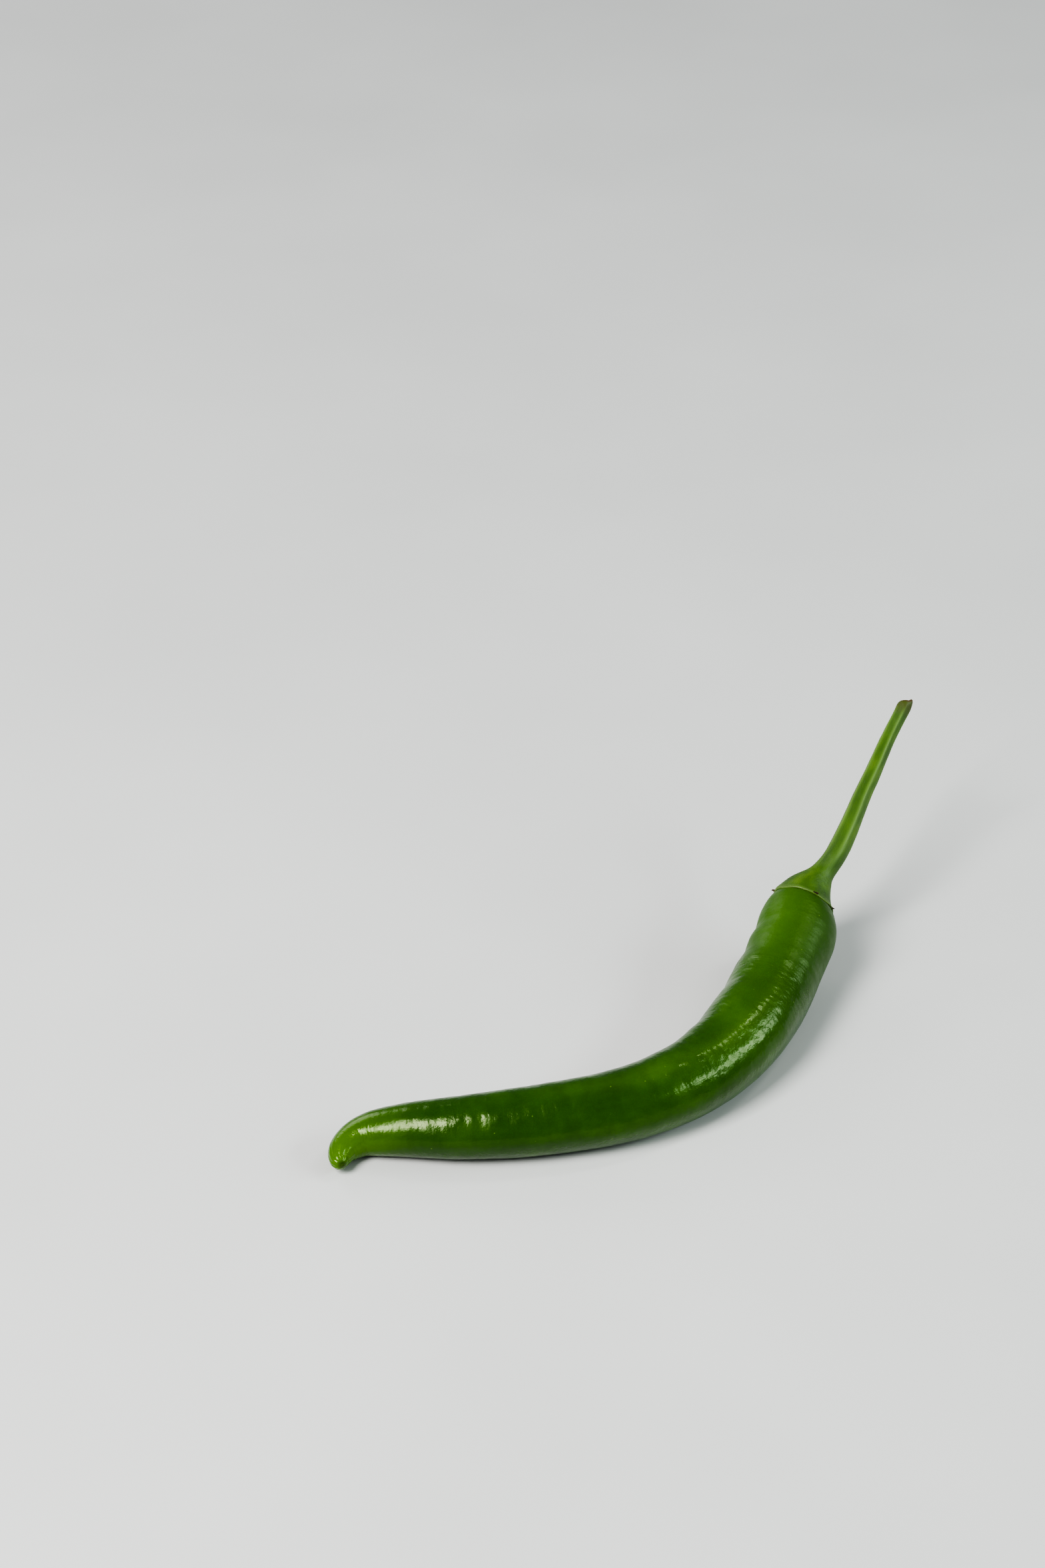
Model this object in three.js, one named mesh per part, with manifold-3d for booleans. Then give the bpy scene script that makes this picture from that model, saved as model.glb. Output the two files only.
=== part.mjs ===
// Green chilli pepper lying on its belly. Millimetres, +Z up, the surface it lies on at Z = 0.
// Two solids: the pod, and the stalk, which is the calyx and the pedicel grown as one piece.
import * as THREE from "three";
import { mergeVertices } from "three/addons/utils/BufferGeometryUtils.js";
import Module from "manifold-3d";

// Middle line of the whole pepper: hooked tip, belly, rising neck, calyx, pedicel, cut end.
const MIDDLE_LINE = [
  [-56.9, -13.6, 3.9],
  [-57.7, -11.3, 3.6],
  [-57.0, -8.2, 3.8],
  [-53.5, -5.0, 4.5],
  [-46.0, -4.3, 5.8],
  [-31.0, -4.7, 7.1],
  [-12.0, -2.6, 7.8],
  [8.0, 2.9, 8.35],
  [22.5, 12.6, 8.9],
  [32.5, 25.5, 9.6],
  [39.4, 40.0, 10.2],
  [44.8, 52.8, 13.2],
  [48.5, 64.0, 17.6],
  [52.1, 68.8, 20.7],
  [55.8, 72.9, 23.8],
  [59.4, 79.3, 27.4],
  [62.6, 86.2, 30.9],
  [66.0, 92.8, 34.3],
  [70.0, 101.0, 38.3],
  [75.3, 109.7, 44.0],
];

// Outline of the pod: distance from the tip along the middle line, and radius there.
const POD_OUTLINE = [
  [0, 0],
  [0.6, 1.3],
  [2.2, 2.3],
  [5.5, 3.35],
  [10, 4.35],
  [16, 5.4],
  [24, 6.3],
  [34, 7.1],
  [46, 7.75],
  [62, 8.15],
  [78, 8.5],
  [92, 9.0],
  [106, 9.65],
  [118, 9.8],
  [130, 9.7],
  [140, 9.4],
  [145, 8.75],
  [147.6, 8.0],
  [149.1, 7.15],
  [150.2, 5.9],
  [150.9, 4.3],
  [151.25, 2.3],
  [151.35, 0],
];

// Outline of the stalk, same two numbers: hollow underside of the calyx, rim, funnel, pedicel, cut end.
const STALK_OUTLINE = [
  [151.7, 0],
  [151.6, 2.4],
  [151.2, 4.5],
  [150.45, 6.1],
  [149.35, 7.25],
  [149.5, 7.52],
  [149.95, 7.45],
  [150.2, 7.05],
  [151.0, 6.45],
  [152.3, 5.7],
  [154.0, 4.95],
  [156.0, 4.0],
  [158.0, 3.25],
  [160.0, 2.8],
  [163.0, 2.58],
  [168.0, 2.5],
  [176.0, 2.22],
  [184.0, 2.0],
  [192.0, 1.82],
  [200.0, 1.72],
  [205.5, 1.76],
  [208.0, 1.84],
  [208.7, 1.55],
  [208.95, 0.8],
  [209.0, 0],
];

const POD_RING_STEP = 2.6;
const POD_SEGMENTS = 36;
const STALK_RING_STEP = 2.4;
const STALK_SEGMENTS = 30;

// The belly is pressed this deep into the surface, which leaves a narrow flat strip to rest on.
const REST_DEPTH = 0.25;

// Soft ridges that run along the pod: angle round the middle line at a few distances from the tip.
// Angle 0 points to the outside of the bend, 90 degrees points up.
const CREST_PATH = [
  [60, 90],
  [84, 85],
  [92, 76],
  [112, 71],
  [126, 65],
];
const CREST_HEIGHT = 0.38;
const CREST_WIDTH = 15;
const CREST_START = [42, 70];
const CREST_END = [120, 138];

const LOWER_RIDGE_PATH = [
  [25, 12],
  [45, 10],
  [65, 3],
  [85, 8],
  [100, 15],
];
const LOWER_RIDGE_HEIGHT = 0.3;
const LOWER_RIDGE_WIDTH = 18;
const LOWER_RIDGE_START = [12, 30];
const LOWER_RIDGE_END = [100, 128];

const BACK_RIDGE_ANGLE = 200;
const BACK_RIDGE_HEIGHT = 0.28;
const BACK_RIDGE_WIDTH = 20;

// The shallow valley between the crest and the outer flank.
const VALLEY_ANGLE = 57;
const VALLEY_DEPTH = 0.26;
const VALLEY_WIDTH = 14;
const VALLEY_START = [70, 90];
const VALLEY_END = [108, 130];

// Folds across the inner side of the bend: distance from the tip, depth, half width.
const FOLD_ANGLE = 155;
const FOLD_SPREAD = 48;
const FOLDS = [
  [138.6, 0.42, 2.6],
  [130.0, 0.36, 2.8],
  [116.0, 0.26, 3.4],
  [100.0, 0.22, 3.6],
  [87.0, 0.14, 4.0],
];

// Swellings of the outer flank: distance from the tip, height, half width.
const SWELLING_ANGLE = -4;
const SWELLING_SPREAD = 46;
const SWELLINGS = [
  [142.0, 0.5, 4.6],
  [131.5, -0.22, 3.6],
  [121.0, 0.16, 4.4],
  [72.0, -0.12, 6.0],
];

// Everything above fades out towards the tip and under the calyx.
const TIP_FADE = [5, 18];
const CALYX_FADE = [144, 148.6];

// Calyx and pedicel: five soft corners each.
const CORNERS = 5;
const CALYX_CORNER_SIZE = 0.035;
const CALYX_CORNER_AT = 154;
const CALYX_CORNER_SPREAD = 4;
const CALYX_CORNER_ANGLE = 4;
const RIB_SIZE = 0.045;
const RIB_ANGLE = 38;
const RIB_START = [156, 168];

// The cut end is oblique: one side stands higher and carries a small point.
const CUT_START = 205.5;
const CUT_END = 209;
const CUT_HIGH_ANGLE = 12;
const CUT_TILT = 0.5;
const CUT_POINT_HEIGHT = 0.7;
const CUT_POINT_WIDTH = 24;

// Dried teeth on the calyx rim: angle, base radius, length.
const TEETH = [
  [5, 0.4, 1.1],
  [60, 0.5, 1.25],
  [158, 0.42, 1.2],
  [231, 0.38, 1.0],
  [297, 0.45, 1.1],
];
const TOOTH_SIDES = 6;
const TOOTH_AT = 150.0;
const TOOTH_RADIUS = 7.35;
const TOOTH_SUNK = 0.3;
const TOOTH_LEAN = 0.45;

const FULL_TURN = 360;

const wasm = await Module();
wasm.setup();

const middleLine = new THREE.CatmullRomCurve3(
  MIDDLE_LINE.map(([x, y, z]) => new THREE.Vector3(x, y, z - REST_DEPTH)),
  false,
  "centripetal",
);
middleLine.arcLengthDivisions = 4000;
const lineLength = middleLine.getLength();

// Point on the middle line with its three directions: along, sideways (level) and up.
function stationAt(distance) {
  const u = THREE.MathUtils.clamp(distance / lineLength, 0, 1);
  const along = middleLine.getTangentAt(u);
  const side = new THREE.Vector3().crossVectors(along, new THREE.Vector3(0, 0, 1)).normalize();
  const up = new THREE.Vector3().crossVectors(side, along);
  return { point: middleLine.getPointAt(u), along, side, up };
}

function outward(station, degrees) {
  const angle = THREE.MathUtils.degToRad(degrees);
  return new THREE.Vector3()
    .addScaledVector(station.side, Math.cos(angle))
    .addScaledVector(station.up, Math.sin(angle));
}

function bump(value, centre, width) {
  return Math.exp(-(((value - centre) / width) ** 2));
}

function angleBump(degrees, centre, width) {
  const apart = THREE.MathUtils.euclideanModulo(degrees - centre + FULL_TURN / 2, FULL_TURN) - FULL_TURN / 2;
  return bump(apart, 0, width);
}

function rise(value, [from, to]) {
  return THREE.MathUtils.smoothstep(value, from, to);
}

// Value read off a path of [distance, value] pairs, held level beyond both ends.
function readPath(path, distance) {
  const next = path.findIndex(([at]) => at > distance);
  if (next === 0) return path[0][1];
  if (next < 0) return path[path.length - 1][1];
  const [from, low] = path[next - 1];
  const [to, high] = path[next];
  return THREE.MathUtils.mapLinear(distance, from, to, low, high);
}

// How far the pod's skin stands out from its round outline, in millimetres.
function podRelief(distance, degrees) {
  let height = 0;
  height +=
    CREST_HEIGHT *
    angleBump(degrees, readPath(CREST_PATH, distance), CREST_WIDTH) *
    rise(distance, CREST_START) *
    (1 - rise(distance, CREST_END));
  height +=
    LOWER_RIDGE_HEIGHT *
    angleBump(degrees, readPath(LOWER_RIDGE_PATH, distance), LOWER_RIDGE_WIDTH) *
    rise(distance, LOWER_RIDGE_START) *
    (1 - rise(distance, LOWER_RIDGE_END));
  height += BACK_RIDGE_HEIGHT * angleBump(degrees, BACK_RIDGE_ANGLE, BACK_RIDGE_WIDTH);
  height -=
    VALLEY_DEPTH *
    angleBump(degrees, VALLEY_ANGLE, VALLEY_WIDTH) *
    rise(distance, VALLEY_START) *
    (1 - rise(distance, VALLEY_END));
  for (const [at, depth, width] of FOLDS) {
    height -= depth * bump(distance, at, width) * angleBump(degrees, FOLD_ANGLE, FOLD_SPREAD);
  }
  for (const [at, size, width] of SWELLINGS) {
    height += size * bump(distance, at, width) * angleBump(degrees, SWELLING_ANGLE, SWELLING_SPREAD);
  }
  return height * rise(distance, TIP_FADE) * (1 - rise(distance, CALYX_FADE));
}

// The pod's skin, with the part of the belly below the surface pressed flat.
function podPoint(distance, radius, degrees) {
  const station = stationAt(distance);
  const skin = radius + podRelief(distance, degrees);
  const point = station.point.addScaledVector(outward(station, degrees), skin);
  point.z = Math.max(point.z, 0);
  return point;
}

function cornerWave(degrees, angle) {
  return Math.cos(THREE.MathUtils.degToRad(CORNERS * (degrees - angle)));
}

// The stalk's skin: five soft corners on the calyx, five ribs on the pedicel, and the oblique cut.
function stalkPoint(distance, radius, degrees) {
  const corner =
    CALYX_CORNER_SIZE *
    bump(distance, CALYX_CORNER_AT, CALYX_CORNER_SPREAD) *
    cornerWave(degrees, CALYX_CORNER_ANGLE);
  const rib = RIB_SIZE * rise(distance, RIB_START) * cornerWave(degrees, RIB_ANGLE);
  const onSide = Math.min(radius, 1);
  const tilt = CUT_TILT * Math.cos(THREE.MathUtils.degToRad(degrees - CUT_HIGH_ANGLE));
  const point = CUT_POINT_HEIGHT * angleBump(degrees, CUT_HIGH_ANGLE, CUT_POINT_WIDTH);
  const shifted = distance + onSide * (tilt + point) * rise(distance, [CUT_START, CUT_END]);
  const station = stationAt(shifted);
  const past = Math.max(shifted - lineLength, 0);
  return station.point
    .addScaledVector(station.along, past)
    .addScaledVector(outward(station, degrees), radius * (1 + corner + rib));
}

// Rings of an outline, closer together where its points are closer together.
function outlineRings(outline, step) {
  const points = outline.map(([distance, radius]) => new THREE.Vector2(radius, distance));
  const curve = new THREE.SplineCurve(points);
  const spans = points.length - 1;
  const rings = [];
  for (let i = 0; i < spans; i += 1) {
    const parts = Math.max(1, Math.ceil(points[i].distanceTo(points[i + 1]) / step));
    for (let k = 0; k < parts; k += 1) {
      rings.push(curve.getPoint((i + k / parts) / spans));
    }
  }
  rings.push(points[spans]);
  rings[0].x = 0;
  return rings;
}

// An outline turned about a straight axis, then laid along the middle line by the given skin.
function growAlongLine(outline, step, segments, skin) {
  const geometry = new THREE.LatheGeometry(outlineRings(outline, step), segments);
  const position = geometry.getAttribute("position");
  for (let i = 0; i < position.count; i += 1) {
    const radius = Math.hypot(position.getX(i), position.getZ(i));
    const degrees = THREE.MathUtils.radToDeg(Math.atan2(position.getZ(i), position.getX(i)));
    const point = skin(position.getY(i), radius, degrees);
    position.setXYZ(i, point.x, point.y, point.z);
  }
  return geometry;
}

function toSolid(geometry) {
  const bare = geometry.clone();
  bare.deleteAttribute("normal");
  bare.deleteAttribute("uv");
  const merged = mergeVertices(bare, 1e-4);
  return new wasm.Manifold(
    new wasm.Mesh({
      numProp: 3,
      vertProperties: merged.getAttribute("position").array,
      triVerts: new Uint32Array(merged.index.array),
    }),
  );
}

function toGeometry(solid) {
  const mesh = solid.getMesh();
  const geometry = new THREE.BufferGeometry();
  geometry.setAttribute("position", new THREE.BufferAttribute(mesh.vertProperties, mesh.numProp));
  geometry.setIndex(new THREE.BufferAttribute(mesh.triVerts, 1));
  geometry.computeVertexNormals();
  return geometry;
}

// One dried tooth, its root sunk in the rim, leaning a little towards the pedicel.
function tooth([degrees, baseRadius, length]) {
  const station = stationAt(TOOTH_AT);
  const direction = outward(station, degrees).addScaledVector(station.along, TOOTH_LEAN).normalize();
  const root = station.point
    .clone()
    .addScaledVector(outward(station, degrees), TOOTH_RADIUS)
    .addScaledVector(direction, length / 2 - TOOTH_SUNK);
  const turn = new THREE.Quaternion().setFromUnitVectors(new THREE.Vector3(0, 1, 0), direction);
  return new THREE.ConeGeometry(baseRadius, length, TOOTH_SIDES).applyQuaternion(turn).translate(...root);
}

function makePod() {
  return growAlongLine(POD_OUTLINE, POD_RING_STEP, POD_SEGMENTS, podPoint);
}

function makeStalk() {
  const grown = growAlongLine(STALK_OUTLINE, STALK_RING_STEP, STALK_SEGMENTS, stalkPoint);
  const solid = TEETH.reduce((whole, each) => whole.add(toSolid(tooth(each))), toSolid(grown));
  return toGeometry(solid);
}

const podMesh = new THREE.Mesh(
  makePod(),
  new THREE.MeshStandardMaterial({ color: 0x33660c, roughness: 0.28, metalness: 0 }),
);
podMesh.name = "pod";

const stalkMesh = new THREE.Mesh(
  makeStalk(),
  new THREE.MeshStandardMaterial({ color: 0x5f8a1e, roughness: 0.6, metalness: 0 }),
);
stalkMesh.name = "stalk";

// The origin lies under the middle of the whole pepper, on the surface.
const pepper = new THREE.Group();
pepper.add(podMesh, stalkMesh);
const middle = new THREE.Box3().setFromObject(pepper, true).getCenter(new THREE.Vector3());
for (const mesh of [podMesh, stalkMesh]) {
  mesh.geometry.translate(-middle.x, -middle.y, 0);
}

export default pepper;
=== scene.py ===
import math

import bpy
from mathutils import Matrix, Vector


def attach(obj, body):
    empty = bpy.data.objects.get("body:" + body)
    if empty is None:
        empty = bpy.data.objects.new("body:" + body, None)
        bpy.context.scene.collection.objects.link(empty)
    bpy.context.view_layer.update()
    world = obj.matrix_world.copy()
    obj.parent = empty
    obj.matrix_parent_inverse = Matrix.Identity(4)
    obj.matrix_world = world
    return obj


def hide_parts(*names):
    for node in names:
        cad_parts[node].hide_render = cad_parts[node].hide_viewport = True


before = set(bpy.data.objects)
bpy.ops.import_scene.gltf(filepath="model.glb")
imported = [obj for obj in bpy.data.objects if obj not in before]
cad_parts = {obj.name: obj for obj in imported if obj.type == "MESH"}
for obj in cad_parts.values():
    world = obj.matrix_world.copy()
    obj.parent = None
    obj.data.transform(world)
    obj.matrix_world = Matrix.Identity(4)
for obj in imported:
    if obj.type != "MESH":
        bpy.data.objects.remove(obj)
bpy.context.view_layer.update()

# A long green chilli pepper lying on its belly. Metres, +Z up, the surface it lies on at Z = 0.
# Distances along the pepper and radii are written in millimetres and turned into metres by MM.
MM = 0.001

# Middle line of the whole pepper: hooked tip, belly, rising neck, calyx, pedicel, cut end.
MIDDLE_LINE = [
    (-56.9, -13.6, 3.9),
    (-57.7, -11.3, 3.6),
    (-57.0, -8.2, 3.8),
    (-53.5, -5.0, 4.5),
    (-46.0, -4.3, 5.8),
    (-31.0, -4.7, 7.1),
    (-12.0, -2.6, 7.8),
    (8.0, 2.9, 8.35),
    (22.5, 12.6, 8.9),
    (32.5, 25.5, 9.6),
    (39.4, 40.0, 10.2),
    (44.8, 52.8, 13.2),
    (48.5, 64.0, 17.6),
    (52.1, 68.8, 20.7),
    (55.8, 72.9, 23.8),
    (59.4, 79.3, 27.4),
    (62.6, 86.2, 30.9),
    (66.0, 92.8, 34.3),
    (70.0, 101.0, 38.3),
    (75.3, 109.7, 44.0),
]
# The line is moved by this much, so that the origin is under the middle of the pepper.
MIDDLE = (8.098, 48.089)
# It is lowered by this much too, and the belly is pressed flat where it would go below the surface.
REST_DEPTH = 0.25

# Outlines: distance from the tip along the middle line, and radius there.
POD_OUTLINE = [
    (0, 0),
    (0.6, 1.3),
    (2.2, 2.3),
    (5.5, 3.35),
    (10, 4.35),
    (16, 5.4),
    (24, 6.3),
    (34, 7.1),
    (46, 7.75),
    (62, 8.15),
    (78, 8.5),
    (92, 9.0),
    (106, 9.65),
    (118, 9.8),
    (130, 9.7),
    (140, 9.4),
    (145, 8.75),
    (147.6, 8.0),
    (149.1, 7.15),
    (150.2, 5.9),
    (150.9, 4.3),
    (151.25, 2.3),
    (151.35, 0),
]
# The stalk starts inside the pod, so the calyx sits on the skin with no gap.
STALK_OUTLINE = [
    (150.4, 0),
    (150.3, 3.0),
    (149.9, 5.2),
    (149.2, 6.6),
    (148.95, 7.15),
    (149.1, 7.4),
    (149.4, 7.45),
    (149.75, 7.25),
    (150.2, 6.98),
    (150.9, 6.62),
    (151.8, 6.1),
    (152.9, 5.5),
    (154.2, 4.8),
    (155.8, 3.95),
    (157.3, 3.25),
    (158.6, 2.86),
    (160.3, 2.68),
    (163.0, 2.58),
    (168.0, 2.45),
    (176.0, 2.2),
    (184.0, 1.98),
    (192.0, 1.8),
    (200.0, 1.65),
    (205.5, 1.66),
    (207.9, 1.76),
    (208.6, 1.55),
    (208.8, 1.05),
    (208.75, 0),
]
# The distance between rings before they are softened, and the points in each ring.
POD_RING_STEP = 1.55
STALK_RING_STEP = 1.2
RING_POINTS = 40

# Ridges that wander round the pod: distance from the tip, and angle there.
# Angles go round the middle line: 0 is the outside of the bend, 90 is up.
CREST_PATH = [(60, 84), (84, 78), (92, 69), (112, 63), (126, 58)]
LOWER_RIDGE_PATH = [(25, 12), (45, 10), (65, 3), (85, 8), (100, 15)]
CREST_SPREAD = 15
LOWER_RIDGE_SPREAD = 18
PIMPLE_ROW_SPREAD = 6.5
# The distance from one pimple of the row to the next.
PIMPLE_PITCH = 1.65

# Sectors that other forms keep to: the angle at their middle, and how far they spread from it.
BACK_RIDGE_SECTOR = (200, 20)
VALLEY_SECTOR = (57, 14)
FOLD_SECTOR = (155, 48)
OUTER_SECTOR = (-4, 46)
ROW_END_SECTOR = (73, 9)
DENT_SECTOR = (50, 24)
RUMPLE_SECTOR = (44, 20)

# Stretches along the pepper: where a form starts, is whole, begins to fade, and is gone.
POD_FORM_STRETCH = (5, 18, 144, 148.6)
POD_SKIN_STRETCH = (2, 12, 145, 149)
CREST_STRETCH = (42, 70, 110, 128)
PIMPLE_ROW_STRETCH = (72, 88, 114, 124)
LOWER_RIDGE_STRETCH = (12, 30, 100, 128)
VALLEY_STRETCH = (70, 90, 108, 130)
RUMPLE_STRETCH = (72, 88, 116, 128)
PUCKER_STRETCH = (0.3, 1.2, 2.4, 6.5)
RIB_STRETCH = (156, 168, 206, 208.5)

# Single forms: distance from the tip, strength, and how far they spread along the pepper.
FOLDS = [
    (138.6, 1.0, 2.6),
    (130.0, 0.86, 2.8),
    (116.0, 0.62, 3.4),
    (100.0, 0.52, 3.6),
    (87.0, 0.33, 4.0),
]
SWELLINGS = [(142, 1.0, 4.6), (121, 0.32, 4.4)]
HOLLOWS = [(131.5, 1.0, 3.6), (72, 0.55, 6)]
ROW_END_LUMPS = [(81.4, 0.9, 1.6), (86.6, 1.0, 1.7)]
DENTS = [
    (28.2, 0.2, 1.25),
    (34.3, 0.6, 1.25),
    (37.3, 0.9, 1.25),
    (42.9, 1.0, 1.25),
    (49.5, 0.7, 1.25),
    (57, 0.5, 1.25),
    (66, 0.4, 1.25),
]
CORNERS = [(153.5, 1.0, 3.4)]
RIM = [(149.4, 1.0, 1.0)]
# The stalk is uneven from behind the rim on.
UNEVEN_STALK = (150, 154)

# Rumples are this strong on the rest of the skin.
PLAIN_SKIN_RUMPLE = 0.12
# The creases that gather at the tip.
PUCKER_CREASES = 11
# The calyx has this many corners, and the stalk as many ribs, from these angles on.
CALYX_CORNERS = 5
FIRST_CORNER = 4
FIRST_RIB = 54
# The cut end slants and is drawn out towards this angle, between these distances.
CUT_POINT = 12
CUT_POINT_SPREAD = 24
CUT_END = (205.5, 209)

# Teeth of the calyx: angle, radius of the root, and length.
TEETH = [
    (9, 0.52, 1.1),
    (58, 0.62, 1.2),
    (62.5, 0.5, 1.0),
    (165, 0.5, 1.2),
    (231, 0.45, 1.0),
    (297, 0.5, 1.1),
]
# Where their roots are along the pepper and out from its middle, how deep they are sunk in the rim,
# and how far they lean towards the tip.
TEETH_DISTANCE = 149.6
TEETH_RADIUS = 7.3
TOOTH_SUNK = 0.35
TOOTH_LEAN = -0.12
# A tooth's point as a share of its root, and its section: wider along the rim than it is thick.
TOOTH_POINT = 0.2
TOOTH_SECTION = (1.25, 0.7, 1)


# Reading lines and outlines

def spline_between(before, start, end, after, share, gaps):
    """Point on the smooth line from start to end, with the gaps between the four points given."""
    first, second, third = gaps
    back = (start - before) / first
    on = (end - start) / second
    ahead = (after - end) / third
    leave = (back - (end - before) / (first + second) + on) * second
    arrive = (on - (after - start) / (second + third) + ahead) * second
    cubic = 2 * start - 2 * end + leave + arrive
    square = 3 * end - 3 * start - 2 * leave - arrive
    return start + leave * share + square * share ** 2 + cubic * share ** 3


def with_ends(points):
    """The points with one more beyond either end."""
    return [2 * points[0] - points[1]] + points + [2 * points[-1] - points[-2]]


def middle_points(steps=24):
    """The middle line as close points, in metres."""
    x, y = MIDDLE
    points = with_ends([Vector(p) - Vector((x, y, REST_DEPTH)) for p in MIDDLE_LINE])
    found = []
    for before, start, end, after in zip(points, points[1:], points[2:], points[3:]):
        gaps = [math.sqrt((b - a).length) for a, b in ((before, start), (start, end), (end, after))]
        for step in range(steps):
            found.append(spline_between(before, start, end, after, step / steps, gaps) * MM)
    found.append(points[-2] * MM)
    return found


def outline_rings(outline, step):
    """Rings of an outline as (distance, radius), closer together where its points are."""
    points = with_ends([Vector(p) for p in outline])
    rings = []
    for before, start, end, after in zip(points, points[1:], points[2:], points[3:]):
        parts = max(1, math.ceil((end - start).length / step))
        for k in range(parts):
            at = spline_between(before, start, end, after, k / parts, (1, 1, 1))
            rings.append((at.x, at.y))
    rings.append(tuple(outline[-1]))
    rings[0] = tuple(outline[0])
    return rings


def bump(value, centre, spread):
    """1 at the centre, fading to nothing on both sides."""
    return math.exp(-(((value - centre) / spread) ** 2))


def angle_bump(degrees, centre, spread):
    """A bump round the middle line."""
    apart = (degrees - centre + 180) % 360 - 180
    return bump(apart, 0, spread)


def rise(value, start, end):
    """0 up to the start, 1 from the end on, and a smooth rise between them."""
    share = min(max((value - start) / (end - start), 0), 1)
    return share * share * (3 - 2 * share)


def within(distance, stretch):
    """1 where a form is whole, with a smooth rise before and a smooth fall after."""
    start, whole, fading, gone = stretch
    return rise(distance, start, whole) * (1 - rise(distance, fading, gone))


def bumps(distance, forms):
    """Single forms added up at one distance."""
    return sum(strength * bump(distance, at, spread) for at, strength, spread in forms)


def lobes(degrees, count, first):
    """1 at count places round the middle line, from the first angle on, and 0 between them."""
    return 0.5 + 0.5 * math.cos(math.radians(count * (degrees - first)))


def read_path(path, distance):
    """Value read off (distance, value) pairs, held level beyond both ends."""
    if distance <= path[0][0]:
        return path[0][1]
    for (start, low), (end, high) in zip(path, path[1:]):
        if distance <= end:
            return low + (high - low) * (distance - start) / (end - start)
    return path[-1][1]


# Shaping a piece while it is still straight: X is the distance from the tip

def select_only(*pieces):
    """Selects these pieces and nothing else, and makes the first of them the active one."""
    bpy.ops.object.select_all(action="DESELECT")
    for piece in pieces:
        piece.select_set(True)
    bpy.context.view_layer.objects.active = pieces[0]


def grow_rings(name, rings):
    """A straight round form along X, extruded ring by ring and closed at both ends."""
    bpy.ops.object.select_all(action="DESELECT")
    start, radius = rings[1]
    bpy.ops.mesh.primitive_circle_add(
        vertices=RING_POINTS,
        radius=radius * MM,
        location=(start * MM, 0, 0),
        rotation=(0, math.pi / 2, 0),
    )
    piece = bpy.context.object
    piece.name = name
    piece.data.name = name
    bpy.ops.object.transform_apply(location=True, rotation=True, scale=True)
    bpy.ops.object.mode_set(mode="EDIT")
    bpy.ops.mesh.select_mode(type="VERT")
    bpy.ops.mesh.select_all(action="SELECT")
    for (at, wide), (onward, next_wide) in zip(rings[1:-1], rings[2:-1]):
        bpy.ops.mesh.extrude_edges_move(TRANSFORM_OT_translate={"value": ((onward - at) * MM, 0, 0)})
        grown = next_wide / wide
        bpy.ops.transform.resize(value=(1, grown, grown), center_override=(onward * MM, 0, 0))
    close_end(rings[-1][0] - rings[-2][0])
    bpy.ops.object.mode_set(mode="OBJECT")
    for vertex in piece.data.vertices:
        vertex.select = vertex.index < RING_POINTS
    bpy.ops.object.mode_set(mode="EDIT")
    close_end(rings[0][0] - rings[1][0])
    bpy.ops.mesh.select_all(action="SELECT")
    bpy.ops.mesh.normals_make_consistent(inside=False)
    bpy.ops.object.mode_set(mode="OBJECT")
    return piece


def close_end(onward):
    """Extrudes the selected ring once more and draws it together into one point."""
    bpy.ops.mesh.extrude_edges_move(TRANSFORM_OT_translate={"value": (onward * MM, 0, 0)})
    bpy.ops.mesh.merge(type="COLLAPSE")


def add_modifier(piece, kind, **settings):
    """Adds a modifier to the piece with these settings, and applies it."""
    bpy.context.view_layer.objects.active = piece
    bpy.ops.object.modifier_add(type=kind)
    modifier = piece.modifiers[-1]
    for key, value in settings.items():
        setattr(modifier, key, value)
    bpy.ops.object.modifier_apply(modifier=modifier.name)


def soften(piece, levels):
    """Rounds the piece with subdivision."""
    add_modifier(piece, "SUBSURF", levels=levels, render_levels=levels)


def place_of(vertex):
    """Distance from the tip in millimetres and angle round the middle line in degrees."""
    x, y, z = vertex.co
    return x / MM, math.degrees(math.atan2(z, -y))


def weigh(piece, name, weight_at, least=0.003):
    """A vertex group whose weights come from distance and angle, without the least ones."""
    group = piece.vertex_groups.new(name=name)
    for vertex in piece.data.vertices:
        weight = weight_at(*place_of(vertex))
        if weight > least:
            group.add([vertex.index], min(weight, 1), "REPLACE")


def raise_skin(piece, name, height, weight_at):
    """Raises the skin by height millimetres where the weight is 1, or presses it in below 0."""
    weigh(piece, name, weight_at)
    add_modifier(piece, "DISPLACE", vertex_group=name, mid_level=0, strength=height * MM)


def ripple_skin(piece, name, height, grain, weight_at, depth=1):
    """Uneven ripples: grain is their size in millimetres along the pepper, and across it both ways."""
    weigh(piece, name, weight_at)
    bpy.ops.object.empty_add(location=(0, 0, 0))
    gauge = bpy.context.object
    gauge.scale = [size * MM for size in grain]
    bpy.context.view_layer.update()
    clouds = bpy.data.textures.new(name, "CLOUDS")
    clouds.noise_scale = 1
    clouds.noise_depth = depth
    add_modifier(
        piece,
        "DISPLACE",
        texture=clouds,
        texture_coords="OBJECT",
        texture_coords_object=gauge,
        vertex_group=name,
        mid_level=0.5,
        strength=height * MM,
    )
    bpy.data.objects.remove(gauge)
    bpy.data.textures.remove(clouds)


def note_place(piece):
    """Keeps each point's place on the straight form, in millimetres, for the finishes."""
    place = piece.data.attributes.new("skin_place", "FLOAT_VECTOR", "POINT")
    for vertex, stored in zip(piece.data.vertices, place.data):
        stored.vector = vertex.co / MM


def note_share(piece, name, share_at):
    """Keeps a number from 0 to 1 at each point, for the finishes."""
    share = piece.data.attributes.new(name, "FLOAT", "POINT")
    for vertex, stored in zip(piece.data.vertices, share.data):
        stored.value = share_at(*place_of(vertex))


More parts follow.
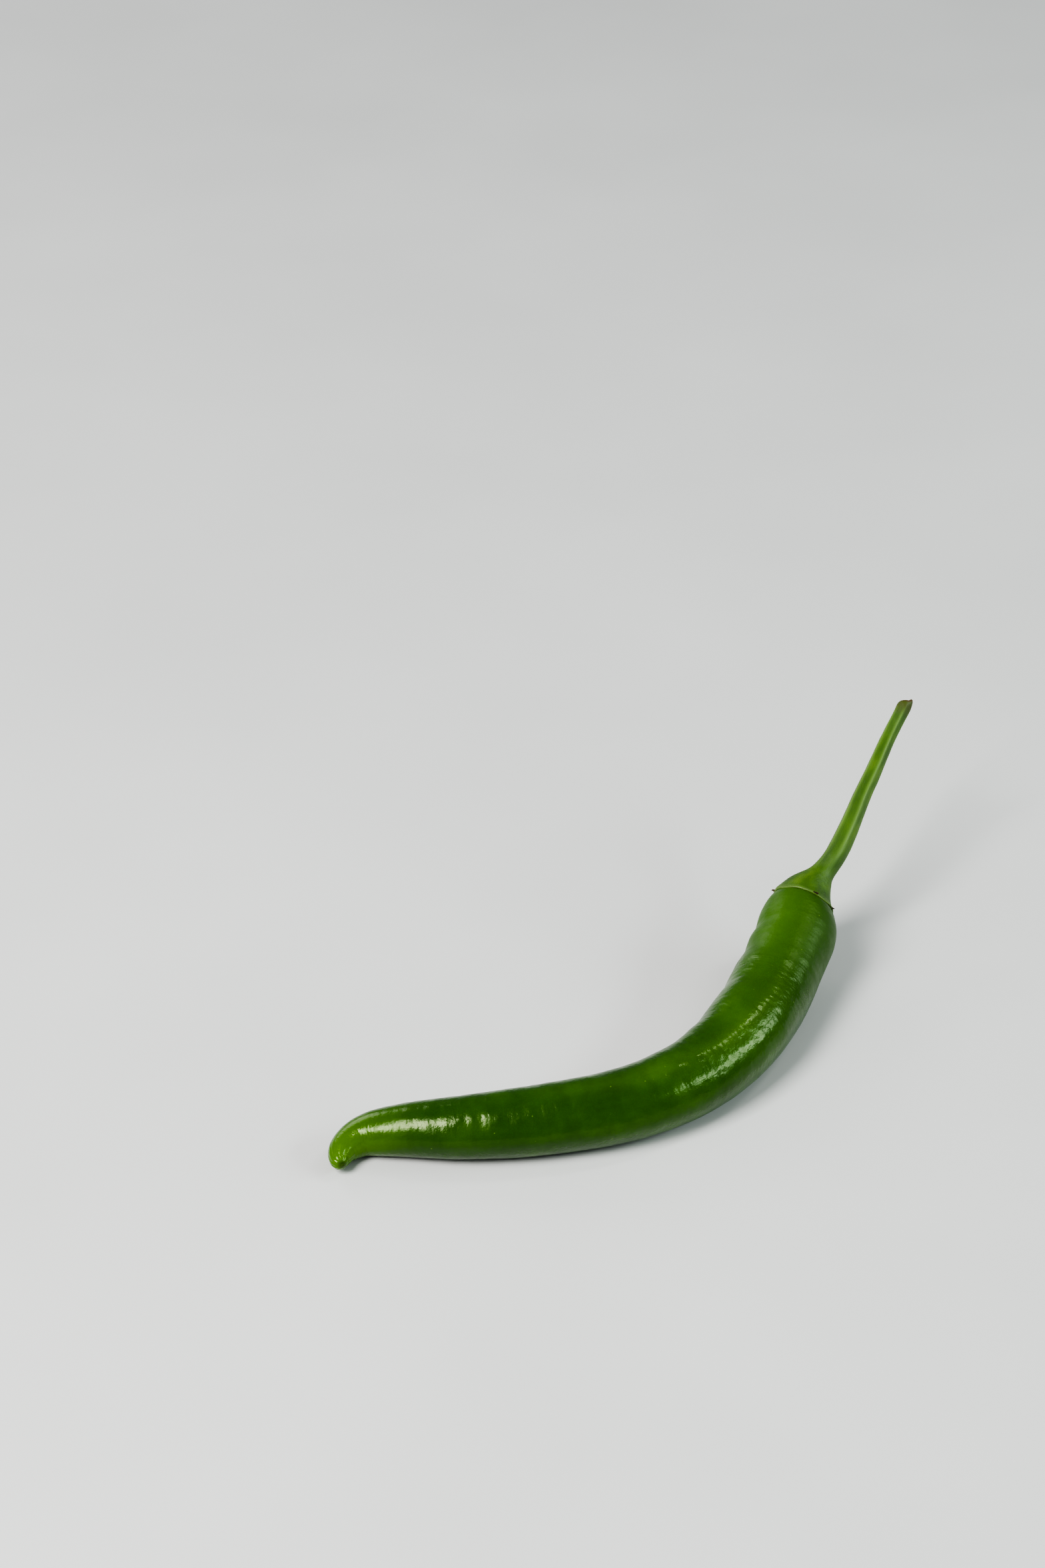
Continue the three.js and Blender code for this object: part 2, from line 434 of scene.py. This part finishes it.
def make_middle_line():
    """The bent line that the pieces are laid along."""
    data = bpy.data.curves.new("middle_line", "CURVE")
    data.dimensions = "3D"
    data.twist_mode = "Z_UP"
    points = middle_points()
    spline = data.splines.new("POLY")
    spline.points.add(len(points) - 1)
    for placed, point in zip(spline.points, points):
        placed.co = (*point, 1)
    line = bpy.data.objects.new("middle_line", data)
    bpy.context.scene.collection.objects.link(line)
    return line


def lay_along(piece, line):
    """Bends the straight piece along the middle line."""
    add_modifier(piece, "CURVE", object=line, deform_axis="POS_X")


def smooth_off(piece):
    """Drops the vertex groups, which have done their work, and shades the piece smooth."""
    piece.vertex_groups.clear()
    select_only(piece)
    bpy.ops.object.shade_smooth()


# The pod

def crest_weight(distance, degrees):
    on_crest = angle_bump(degrees, read_path(CREST_PATH, distance), CREST_SPREAD)
    return on_crest * within(distance, CREST_STRETCH) * within(distance, POD_FORM_STRETCH)


def pimple_weight(distance, degrees):
    """A row of small pimples along the crest, unevenly spaced, tall and placed."""
    shift = 1.8 * math.sin(distance / 2.9)
    strength = 0.7 + 0.3 * math.sin(distance / 1.7)
    at = read_path(CREST_PATH, distance) + math.sin(distance / 2.3)
    pimples = 0.5 + 0.5 * math.cos(math.tau * distance / PIMPLE_PITCH + shift)
    in_row = angle_bump(degrees, at, PIMPLE_ROW_SPREAD) * within(distance, PIMPLE_ROW_STRETCH)
    return in_row * pimples * strength


def row_end_weight(distance, degrees):
    """Two wider lumps where the row of pimples ends."""
    return bumps(distance, ROW_END_LUMPS) * angle_bump(degrees, *ROW_END_SECTOR)


def lower_ridge_weight(distance, degrees):
    on_ridge = angle_bump(degrees, read_path(LOWER_RIDGE_PATH, distance), LOWER_RIDGE_SPREAD)
    return on_ridge * within(distance, LOWER_RIDGE_STRETCH) * within(distance, POD_FORM_STRETCH)


def back_ridge_weight(distance, degrees):
    return angle_bump(degrees, *BACK_RIDGE_SECTOR) * within(distance, POD_FORM_STRETCH)


def valley_weight(distance, degrees):
    in_valley = angle_bump(degrees, *VALLEY_SECTOR) * within(distance, VALLEY_STRETCH)
    return in_valley * within(distance, POD_FORM_STRETCH)


def fold_weight(distance, degrees):
    """Cross folds on the inside of the bend."""
    folds = bumps(distance, FOLDS) * angle_bump(degrees, *FOLD_SECTOR)
    return folds * within(distance, POD_FORM_STRETCH)


def swelling_weight(distance, degrees):
    swellings = bumps(distance, SWELLINGS) * angle_bump(degrees, *OUTER_SECTOR)
    return swellings * within(distance, POD_FORM_STRETCH)


def hollow_weight(distance, degrees):
    hollows = bumps(distance, HOLLOWS) * angle_bump(degrees, *OUTER_SECTOR)
    return hollows * within(distance, POD_FORM_STRETCH)


def dent_weight(distance, degrees):
    """Shallow dents across the front, past the tip."""
    return bumps(distance, DENTS) * angle_bump(degrees, *DENT_SECTOR)


def pucker_weight(distance, degrees):
    """Fine creases that gather at the tip."""
    shift = 1.3 * math.sin(math.radians(2 * degrees))
    crease = 0.5 + 0.5 * math.cos(math.radians(PUCKER_CREASES * degrees) + shift)
    return crease ** 2 * within(distance, PUCKER_STRETCH)


def skin_weight(distance, degrees):
    return within(distance, POD_SKIN_STRETCH)


def rumple_weight(distance, degrees):
    """The uneven strip beside the crest, on the outside of the bend."""
    strip = angle_bump(degrees, *RUMPLE_SECTOR) * within(distance, RUMPLE_STRETCH)
    extra = (1 - PLAIN_SKIN_RUMPLE) * strip * skin_weight(distance, degrees)
    return PLAIN_SKIN_RUMPLE + extra


# Forms of the pod: name, height in millimetres, and where. A negative height presses the skin in.
BROAD_POD_FORMS = [
    ("crest", 0.2, crest_weight),
    ("lower_ridge", 0.3, lower_ridge_weight),
    ("back_ridge", 0.28, back_ridge_weight),
    ("valley", -0.12, valley_weight),
    ("folds", -0.5, fold_weight),
    ("swellings", 0.5, swelling_weight),
    ("hollows", -0.22, hollow_weight),
]
FINE_POD_FORMS = [
    ("pimples", 0.11, pimple_weight),
    ("row_end", 0.26, row_end_weight),
    ("front_dents", -0.17, dent_weight),
    ("pucker", -0.09, pucker_weight),
]
# Ripples of the pod: name, height, grain along and across, where, and depth of their detail.
POD_RIPPLES = [
    ("undulation", 0.2, (7, 9, 9), skin_weight, 1),
    ("dents", 0.12, (3.2, 3.6, 3.6), skin_weight, 1),
    ("rumples", 0.17, (1.5, 1.7, 1.7), rumple_weight, 2),
]


def make_pod(line):
    pod = grow_rings("pod_skin", outline_rings(POD_OUTLINE, POD_RING_STEP))
    soften(pod, 1)
    for form in BROAD_POD_FORMS:
        raise_skin(pod, *form)
    soften(pod, 1)
    for form in FINE_POD_FORMS:
        raise_skin(pod, *form)
    for ripples in POD_RIPPLES:
        ripple_skin(pod, *ripples)
    note_place(pod)
    note_share(pod, "crest_line", crest_weight)
    lay_along(pod, line)
    flatten_belly(pod)
    smooth_off(pod)
    return pod


def flatten_belly(pod):
    """Presses what is below the surface flat onto it."""
    bpy.context.view_layer.objects.active = pod
    bpy.ops.object.mode_set(mode="EDIT")
    bpy.ops.mesh.select_all(action="DESELECT")
    bpy.ops.object.mode_set(mode="OBJECT")
    for vertex in pod.data.vertices:
        vertex.select = vertex.co.z < 0
    bpy.ops.object.mode_set(mode="EDIT")
    bpy.ops.transform.resize(value=(1, 1, 0), center_override=(0, 0, 0))
    bpy.ops.object.mode_set(mode="OBJECT")


# The stalk: calyx and pedicel

def corner_weight(distance, degrees):
    return lobes(degrees, CALYX_CORNERS, FIRST_CORNER) * bumps(distance, CORNERS)


def rib_weight(distance, degrees):
    return lobes(degrees, CALYX_CORNERS, FIRST_RIB) ** 3 * within(distance, RIB_STRETCH)


def past_the_rim(distance, degrees):
    return rise(distance, *UNEVEN_STALK)


def everywhere(distance, degrees):
    return 1


def make_stalk(line):
    stalk = grow_rings("calyx_and_stalk", outline_rings(STALK_OUTLINE, STALK_RING_STEP))
    soften(stalk, 1)
    raise_skin(stalk, "corners", 0.3, corner_weight)
    raise_skin(stalk, "ribs", 0.2, rib_weight)
    soften(stalk, 1)
    ripple_skin(stalk, "unevenness", 0.12, (4, 2.5, 2.5), past_the_rim)
    note_place(stalk)
    # Keeps where the painted highlight along the ribs goes.
    note_share(stalk, "rib_highlight_line", rib_weight)
    wave_rim(stalk)
    slant_cut(stalk)
    lay_along(stalk, line)
    smooth_off(stalk)
    return stalk


def wave_rim(stalk):
    """Lets the calyx rim run a little unevenly round the pod."""
    for vertex in stalk.data.vertices:
        distance, degrees = place_of(vertex)
        broad_wave = 0.16 * math.sin(math.radians(5 * degrees + 40))
        short_wave = 0.1 * math.sin(math.radians(8 * degrees))
        vertex.co.x += (broad_wave + short_wave) * bumps(distance, RIM) * MM


def slant_cut(stalk):
    """Makes the cut end oblique and draws one side of it out into a small point."""
    for vertex in stalk.data.vertices:
        distance, degrees = place_of(vertex)
        radius = math.hypot(vertex.co.y, vertex.co.z) / MM
        slant = 0.5 * math.cos(math.radians(degrees - CUT_POINT))
        point = 0.7 * angle_bump(degrees, CUT_POINT, CUT_POINT_SPREAD)
        vertex.co.x += min(radius, 1) * (slant + point) * rise(distance, *CUT_END) * MM


def make_tooth(degrees, radius, length):
    """One tooth: a thin cone that stands out from the rim."""
    angle = math.radians(degrees)
    out = Vector((TOOTH_LEAN, -math.cos(angle), math.sin(angle))).normalized()
    along_rim = Vector((0, math.sin(angle), math.cos(angle)))
    across, up = -TEETH_RADIUS * math.cos(angle), TEETH_RADIUS * math.sin(angle)
    root = Vector((TEETH_DISTANCE, across, up))
    turned = Matrix((along_rim, out.cross(along_rim), out)).transposed()
    bpy.ops.object.select_all(action="DESELECT")
    bpy.ops.mesh.primitive_cone_add(
        vertices=10,
        radius1=radius * MM,
        radius2=TOOTH_POINT * radius * MM,
        depth=length * MM,
        location=(root + out * (length / 2 - TOOTH_SUNK)) * MM,
        rotation=turned.to_euler(),
        scale=TOOTH_SECTION,
    )
    bpy.ops.object.transform_apply(location=True, rotation=True, scale=True)
    return bpy.context.object


def make_teeth(line):
    """Five small dried teeth on the calyx rim, one of them split, their roots sunk in it."""
    select_only(*[make_tooth(*tooth) for tooth in TEETH])
    bpy.ops.object.join()
    teeth = bpy.context.object
    teeth.name = "calyx_teeth"
    teeth.data.name = "calyx_teeth"
    soften(teeth, 2)
    ripple_skin(teeth, "crumple", 0.25, (0.5, 0.5, 0.5), everywhere)
    note_place(teeth)
    lay_along(teeth, line)
    smooth_off(teeth)
    return teeth


# Finishes

def paint(red, green, blue):
    """A colour given as 0 to 255 on screen, as Blender's linear values."""
    linear = []
    for value in (red, green, blue):
        share = value / 255
        linear.append(share / 12.92 if share <= 0.04045 else ((share + 0.055) / 1.055) ** 2.4)
    return (*linear, 1)


# Colours of the pod
POD_DARK = paint(26, 62, 0)
POD_GREEN = paint(34, 73, 0)
POD_LIGHT = paint(48, 88, 0)
POD_SMUDGE = paint(18, 52, 0)
POD_STREAK = paint(42, 84, 0)
POD_LOWER_HALF = paint(20, 54, 0)
POD_TIP = paint(76, 118, 0)
POD_NECK = paint(60, 102, 0)
# Painted shade laid on the neck's outer side, the side away from the light.
POD_NECK_PAINTED_SHADE = paint(24, 58, 0)
POD_CREST = paint(84, 122, 4)
POD_SPECK = paint(122, 158, 60)
POD_TIP_SCAR = paint(26, 44, 6)

# Colours of the calyx, the pedicel and the teeth
STALK_DARK = paint(41, 74, 0)
STALK_GREEN = paint(60, 95, 0)
STALK_LIGHT = paint(82, 114, 12)
# Painted highlight laid along the ribs of the pedicel.
STALK_RIB_HIGHLIGHT = paint(104, 136, 58)
CALYX_RIM = paint(112, 136, 68)
STALK_DRY_END = paint(64, 72, 10)
CUT_MIDDLE = paint(122, 100, 58)
CUT_SKIN = paint(82, 60, 30)
TOOTH_DARK = paint(34, 28, 12)
TOOTH_LIGHT = paint(78, 62, 30)

# Colours of the floor
FLOOR_DARK = paint(196, 197, 197)
FLOOR_LIGHT = paint(202, 203, 203)

# The sockets of a Mix node that it uses for colours
MIX_SHARE, MIX_UNDER, MIX_OVER = 0, 6, 7
MIX_RESULT = 2


def new_finish(name):
    """A new material, its nodes, and its shader."""
    finish = bpy.data.materials.new(name)
    finish.use_nodes = True
    return finish, finish.node_tree, finish.node_tree.nodes["Principled BSDF"]


def add_node(tree, kind, **settings):
    node = tree.nodes.new(kind)
    for key, value in settings.items():
        setattr(node, key, value)
    return node


def feed(tree, socket, value):
    """Sets a number or a colour, or links what another node gives."""
    if isinstance(value, (int, float, tuple)):
        socket.default_value = value
    else:
        tree.links.new(value, socket)


def set_sockets(node, settings):
    for name, value in settings.items():
        node.inputs[name].default_value = value


def read_place(tree):
    """The place on the straight form, in millimetres."""
    return add_node(tree, "ShaderNodeAttribute", attribute_name="skin_place").outputs["Vector"]


def skin_place(tree, scale):
    """The place on the straight form, stretched by scale."""
    stretch = add_node(tree, "ShaderNodeMapping")
    stretch.inputs["Scale"].default_value = scale
    tree.links.new(read_place(tree), stretch.inputs["Vector"])
    return stretch.outputs["Vector"]


def noise(tree, scale, detail):
    """Noise with scale grains in a millimetre, along the pepper and across it both ways."""
    node = add_node(tree, "ShaderNodeTexNoise")
    set_sockets(node, {"Scale": 1, "Detail": detail})
    tree.links.new(skin_place(tree, scale), node.inputs["Vector"])
    return node.outputs["Fac"]


def ramp(tree, value, *stops):
    """Colours at (value, colour) stops, blended between them."""
    node = add_node(tree, "ShaderNodeValToRGB")
    band = node.color_ramp
    band.elements[0].position, band.elements[0].color = stops[0]
    band.elements[1].position, band.elements[1].color = stops[-1]
    for position, colour in stops[1:-1]:
        band.elements.new(position).color = colour
    tree.links.new(value, node.inputs["Fac"])
    return node.outputs["Color"]


def grade(tree, value, low, high, start=0.0, end=1.0):
    """Value from low to high turned into start to end."""
    node = add_node(tree, "ShaderNodeMapRange", clamp=True)
    set_sockets(node, {"From Min": low, "From Max": high, "To Min": start, "To Max": end})
    tree.links.new(value, node.inputs["Value"])
    return node.outputs["Result"]


def blend(tree, share, under, over):
    """One colour laid over another by share."""
    node = add_node(tree, "ShaderNodeMix", data_type="RGBA")
    feed(tree, node.inputs[MIX_SHARE], share)
    feed(tree, node.inputs[MIX_UNDER], under)
    feed(tree, node.inputs[MIX_OVER], over)
    return node.outputs[MIX_RESULT]


def reckon(tree, operation, one, other):
    """Works out two values, each a number or what a node gives, by one operation."""
    node = add_node(tree, "ShaderNodeMath", operation=operation)
    feed(tree, node.inputs[0], one)
    feed(tree, node.inputs[1], other)
    return node.outputs[0]


def times(tree, one, other):
    return reckon(tree, "MULTIPLY", one, other)


def plus(tree, one, other):
    return reckon(tree, "ADD", one, other)


def part_of_place(tree, axis):
    split = add_node(tree, "ShaderNodeSeparateXYZ")
    tree.links.new(read_place(tree), split.inputs["Vector"])
    return split.outputs[axis]


def distance_along(tree):
    """Distance from the tip."""
    return part_of_place(tree, "X")


def distance_inward(tree):
    """Distance from the middle line towards the inside of the bend."""
    return part_of_place(tree, "Y")


def distance_out(tree):
    """Distance from the middle line."""
    length = add_node(tree, "ShaderNodeVectorMath", operation="LENGTH")
    tree.links.new(skin_place(tree, (0, 1, 1)), length.inputs[0])
    return length.outputs["Value"]


def share_of(tree, name):
    """A number that was kept at each point."""
    return add_node(tree, "ShaderNodeAttribute", attribute_name=name).outputs["Fac"]


def tint_along(tree, under, over, stretch, shares):
    """Lays a colour over another, its share going from one number to the other along a stretch."""
    share = grade(tree, distance_along(tree), *stretch, *shares)
    return blend(tree, share, under, over)


def relief(tree, shader, *layers):
    """Chains bumps, each (height value, depth in metres)."""
    normal = None
    for value, depth in layers:
        node = add_node(tree, "ShaderNodeBump")
        set_sockets(node, {"Strength": 1, "Distance": depth})
        tree.links.new(value, node.inputs["Height"])
        if normal:
            tree.links.new(normal, node.inputs["Normal"])
        normal = node.outputs["Normal"]
    tree.links.new(normal, shader.inputs["Normal"])


def pod_colour(tree):
    """Cloudy green, yellower at the tip and the neck, with painted shade on the neck's outer side."""
    cloudy = noise(tree, (0.083, 0.12, 0.12), 4)
    colour = ramp(tree, cloudy, (0.28, POD_DARK), (0.5, POD_GREEN), (0.72, POD_LIGHT))
    smudges = grade(tree, noise(tree, (0.3, 0.16, 0.16), 3), 0.42, 0.66, 0, 0.4)
    colour = blend(tree, smudges, colour, POD_SMUDGE)
    streaks = grade(tree, noise(tree, (0.14, 0.5, 0.5), 4), 0.35, 0.7, 0, 0.22)
    colour = blend(tree, streaks, colour, POD_STREAK)
    colour = tint_along(tree, colour, POD_LOWER_HALF, (24, 76), (0.45, 0))
    colour = tint_along(tree, colour, POD_TIP, (2, 25), (0.7, 0))
    colour = tint_along(tree, colour, POD_NECK, (84, 142), (0, 0.6))
    # Painted shade: the neck is darkened towards the outside of the bend.
    painted_shade_side = grade(tree, distance_inward(tree), -6, 1, 0.6, 0)
    on_neck = grade(tree, distance_along(tree), 92, 120)
    colour = blend(tree, times(tree, painted_shade_side, on_neck), colour, POD_NECK_PAINTED_SHADE)
    crest = times(tree, share_of(tree, "crest_line"), 0.12)
    colour = blend(tree, crest, colour, POD_CREST)
    colour = blend(tree, pale_specks(tree), colour, POD_SPECK)
    return tint_along(tree, colour, POD_TIP_SCAR, (0.3, 0.7), (0.75, 0))


def pale_specks(tree):
    """Small pale dots, a few millimetres apart."""
    specks = add_node(tree, "ShaderNodeTexVoronoi")
    specks.inputs["Scale"].default_value = 1
    tree.links.new(skin_place(tree, (0.3, 0.3, 0.3)), specks.inputs["Vector"])
    return grade(tree, specks.outputs["Distance"], 0.03, 0.055, 0.35, 0)


def pod_finish():
    """Waxy green skin with fine cross ripples, less glossy near the calyx."""
    finish, tree, skin = new_finish("green_chilli_skin")
    tree.links.new(pod_colour(tree), skin.inputs["Base Color"])
    uneven = grade(tree, noise(tree, (0.5, 0.3, 0.3), 4), 0.3, 0.7, -0.05, 0.06)
    sheen = grade(tree, distance_along(tree), 117, 133, 0.21, 0.42)
    tree.links.new(plus(tree, sheen, uneven), skin.inputs["Roughness"])
    set_sockets(skin, {
        "Subsurface Weight": 0.12,
        "Subsurface Radius": (0.25, 0.6, 0.08),
        "Subsurface Scale": 0.002,
        "Specular IOR Level": 0.38,
        "Specular Tint": (0.83, 1.0, 0.56, 1),
    })
    cross_ripples = (noise(tree, (0.38, 0.07, 0.07), 2), 0.0002)
    waves = (noise(tree, (0.7, 0.3, 0.3), 2), 0.00006)
    grain = (noise(tree, (1.5, 1.3, 1.3), 3), 0.00006)
    relief(tree, skin, cross_ripples, waves, grain)
    return finish


def stalk_colour(tree):
    """Green, with a painted highlight along the ribs, paler along the rim, dry towards the end and
    brown at the cut.
    """
    cloudy = noise(tree, (0.12, 0.3, 0.3), 4)
    colour = ramp(tree, cloudy, (0.3, STALK_DARK), (0.55, STALK_GREEN), (0.75, STALK_LIGHT))
    # Painted highlight along the ribs.
    ribs = times(tree, share_of(tree, "rib_highlight_line"), 0.6)
    colour = blend(tree, ribs, colour, STALK_RIB_HIGHLIGHT)
    colour = tint_along(tree, colour, CALYX_RIM, (149.2, 150.4), (0.35, 0))
    colour = tint_along(tree, colour, STALK_DRY_END, (204.4, 207.2), (0, 0.85))
    ragged = times(tree, noise(tree, (1, 1.6, 1.6), 4), 0.9)
    from_middle = plus(tree, distance_out(tree), ragged)
    cut_face = ramp(tree, from_middle, (0.55, CUT_MIDDLE), (1, CUT_SKIN))
    return tint_along(tree, colour, cut_face, (208.0, 208.5), (0, 0.9))


def stalk_finish():
    """Matt skin of the calyx and the pedicel, with fine lengthwise grain."""
    finish, tree, skin = new_finish("green_stalk_skin")
    tree.links.new(stalk_colour(tree), skin.inputs["Base Color"])
    set_sockets(skin, {
        "Roughness": 0.5,
        "Subsurface Weight": 0.1,
        "Subsurface Radius": (0.3, 0.6, 0.1),
        "Subsurface Scale": 0.0015,
    })
    lengthwise = (noise(tree, (0.25, 2.2, 2.2), 3), 0.00011)
    grain = (noise(tree, (3.5, 3.5, 3.5), 2), 0.00004)
    relief(tree, skin, lengthwise, grain)
    return finish


def tooth_finish():
    """Dry dark brown plant tissue."""
    finish, tree, skin = new_finish("dried_tooth")
    colour = ramp(tree, noise(tree, (1.2, 1.2, 1.2), 4), (0.3, TOOTH_DARK), (0.7, TOOTH_LIGHT))
    tree.links.new(colour, skin.inputs["Base Color"])
    skin.inputs["Roughness"].default_value = 0.8
    grain = (noise(tree, (3, 3, 3), 3), 0.0002)
    relief(tree, skin, grain)
    return finish


def floor_finish():
    """Plain pale grey surface."""
    finish, tree, surface = new_finish("pale_floor")
    where = add_node(tree, "ShaderNodeTexCoord")
    mottle = add_node(tree, "ShaderNodeTexNoise")
    set_sockets(mottle, {"Scale": 9, "Detail": 3})
    tree.links.new(where.outputs["Object"], mottle.inputs["Vector"])
    colour = ramp(tree, mottle.outputs["Fac"], (0.3, FLOOR_DARK), (0.7, FLOOR_LIGHT))
    tree.links.new(colour, surface.inputs["Base Color"])
    surface.inputs["Roughness"].default_value = 0.75
    return finish


# Camera, floor and light

# Light panels: name, place in metres, width and height in metres, power in watts, and colour.
LIGHTS = [
    ("front_light", (-0.53, -0.5, 0.8), (0.4, 0.54), 15.0, (1.0, 0.98, 0.95)),
    ("right_light", (1.08, -0.3, 0.7), (0.7, 0.2), 5.6, (0.86, 1.0, 0.95)),
    ("side_light", (1.18, 0.12, 0.55), (0.34, 0.2), 2.2, (0.86, 1.0, 0.95)),
    ("crest_light", (0.63, 0.27, 0.88), (0.1, 0.32), 1.5, (1.0, 1.0, 0.97)),
    ("back_left_light", (-0.72, 0.95, 0.6), (0.45, 0.65), 3.0, (1.0, 0.99, 0.97)),
]
# The panels face this point, in the middle of the pepper.
LIGHTS_AIM = (0, 0, 0.01)
ROOM_COLOUR = (0.96, 0.98, 1.0, 1)
ROOM_STRENGTH = 0.27
CAMERA_PLACE = (-0.02589, -0.5972, 0.48015)
# Degrees that the camera looks down.
CAMERA_DOWN = 35


def set_camera():
    """The photograph's view, with a 75 mm lens."""
    tilt = math.radians(90 - CAMERA_DOWN)
    bpy.ops.object.camera_add(location=CAMERA_PLACE, rotation=(tilt, 0, 0))
    camera = bpy.context.object
    camera.name = "camera"
    camera.data.lens = 75
    camera.data.sensor_width = 36
    camera.data.sensor_fit = "AUTO"
    camera.data.clip_start = 0.01
    camera.data.dof.use_dof = False
    bpy.context.scene.camera = camera


def lay_floor():
    bpy.ops.object.select_all(action="DESELECT")
    bpy.ops.mesh.primitive_plane_add(size=8, location=(0, 0, 0))
    floor = bpy.context.object
    floor.name = "floor"
    floor.data.materials.append(floor_finish())


def add_light(name, place, size, power, colour):
    """A soft panel that faces the pepper."""
    aim = (Vector(LIGHTS_AIM) - Vector(place)).to_track_quat("-Z", "Y").to_euler()
    bpy.ops.object.light_add(type="AREA", location=place, rotation=aim)
    light = bpy.context.object
    light.name = name
    light.data.shape = "RECTANGLE"
    light.data.size, light.data.size_y = size
    light.data.energy = power
    light.data.color = colour


def light_scene():
    for panel in LIGHTS:
        add_light(*panel)
    bpy.context.scene.view_settings.look = "AgX - High Contrast"
    world = bpy.data.worlds.new("soft_room")
    world.use_nodes = True
    set_sockets(world.node_tree.nodes["Background"], {"Color": ROOM_COLOUR, "Strength": ROOM_STRENGTH})
    bpy.context.scene.world = world


def finish_piece(piece, finish, slot, *nodes):
    """Gives the piece its finish, and says what it rides on and which nodes it replaces."""
    piece.data.materials.clear()
    piece.data.materials.append(finish)
    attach(piece, "root")
    if nodes:
        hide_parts(*nodes)


set_camera()
lay_floor()
light_scene()

middle_line = make_middle_line()
pod = make_pod(middle_line)
stalk = make_stalk(middle_line)
teeth = make_teeth(middle_line)
bpy.data.objects.remove(middle_line)

finish_piece(pod, pod_finish(), "pod_skin", "pod")
finish_piece(stalk, stalk_finish(), "stalk_skin", "stalk")
finish_piece(teeth, tooth_finish(), "stalk_skin")
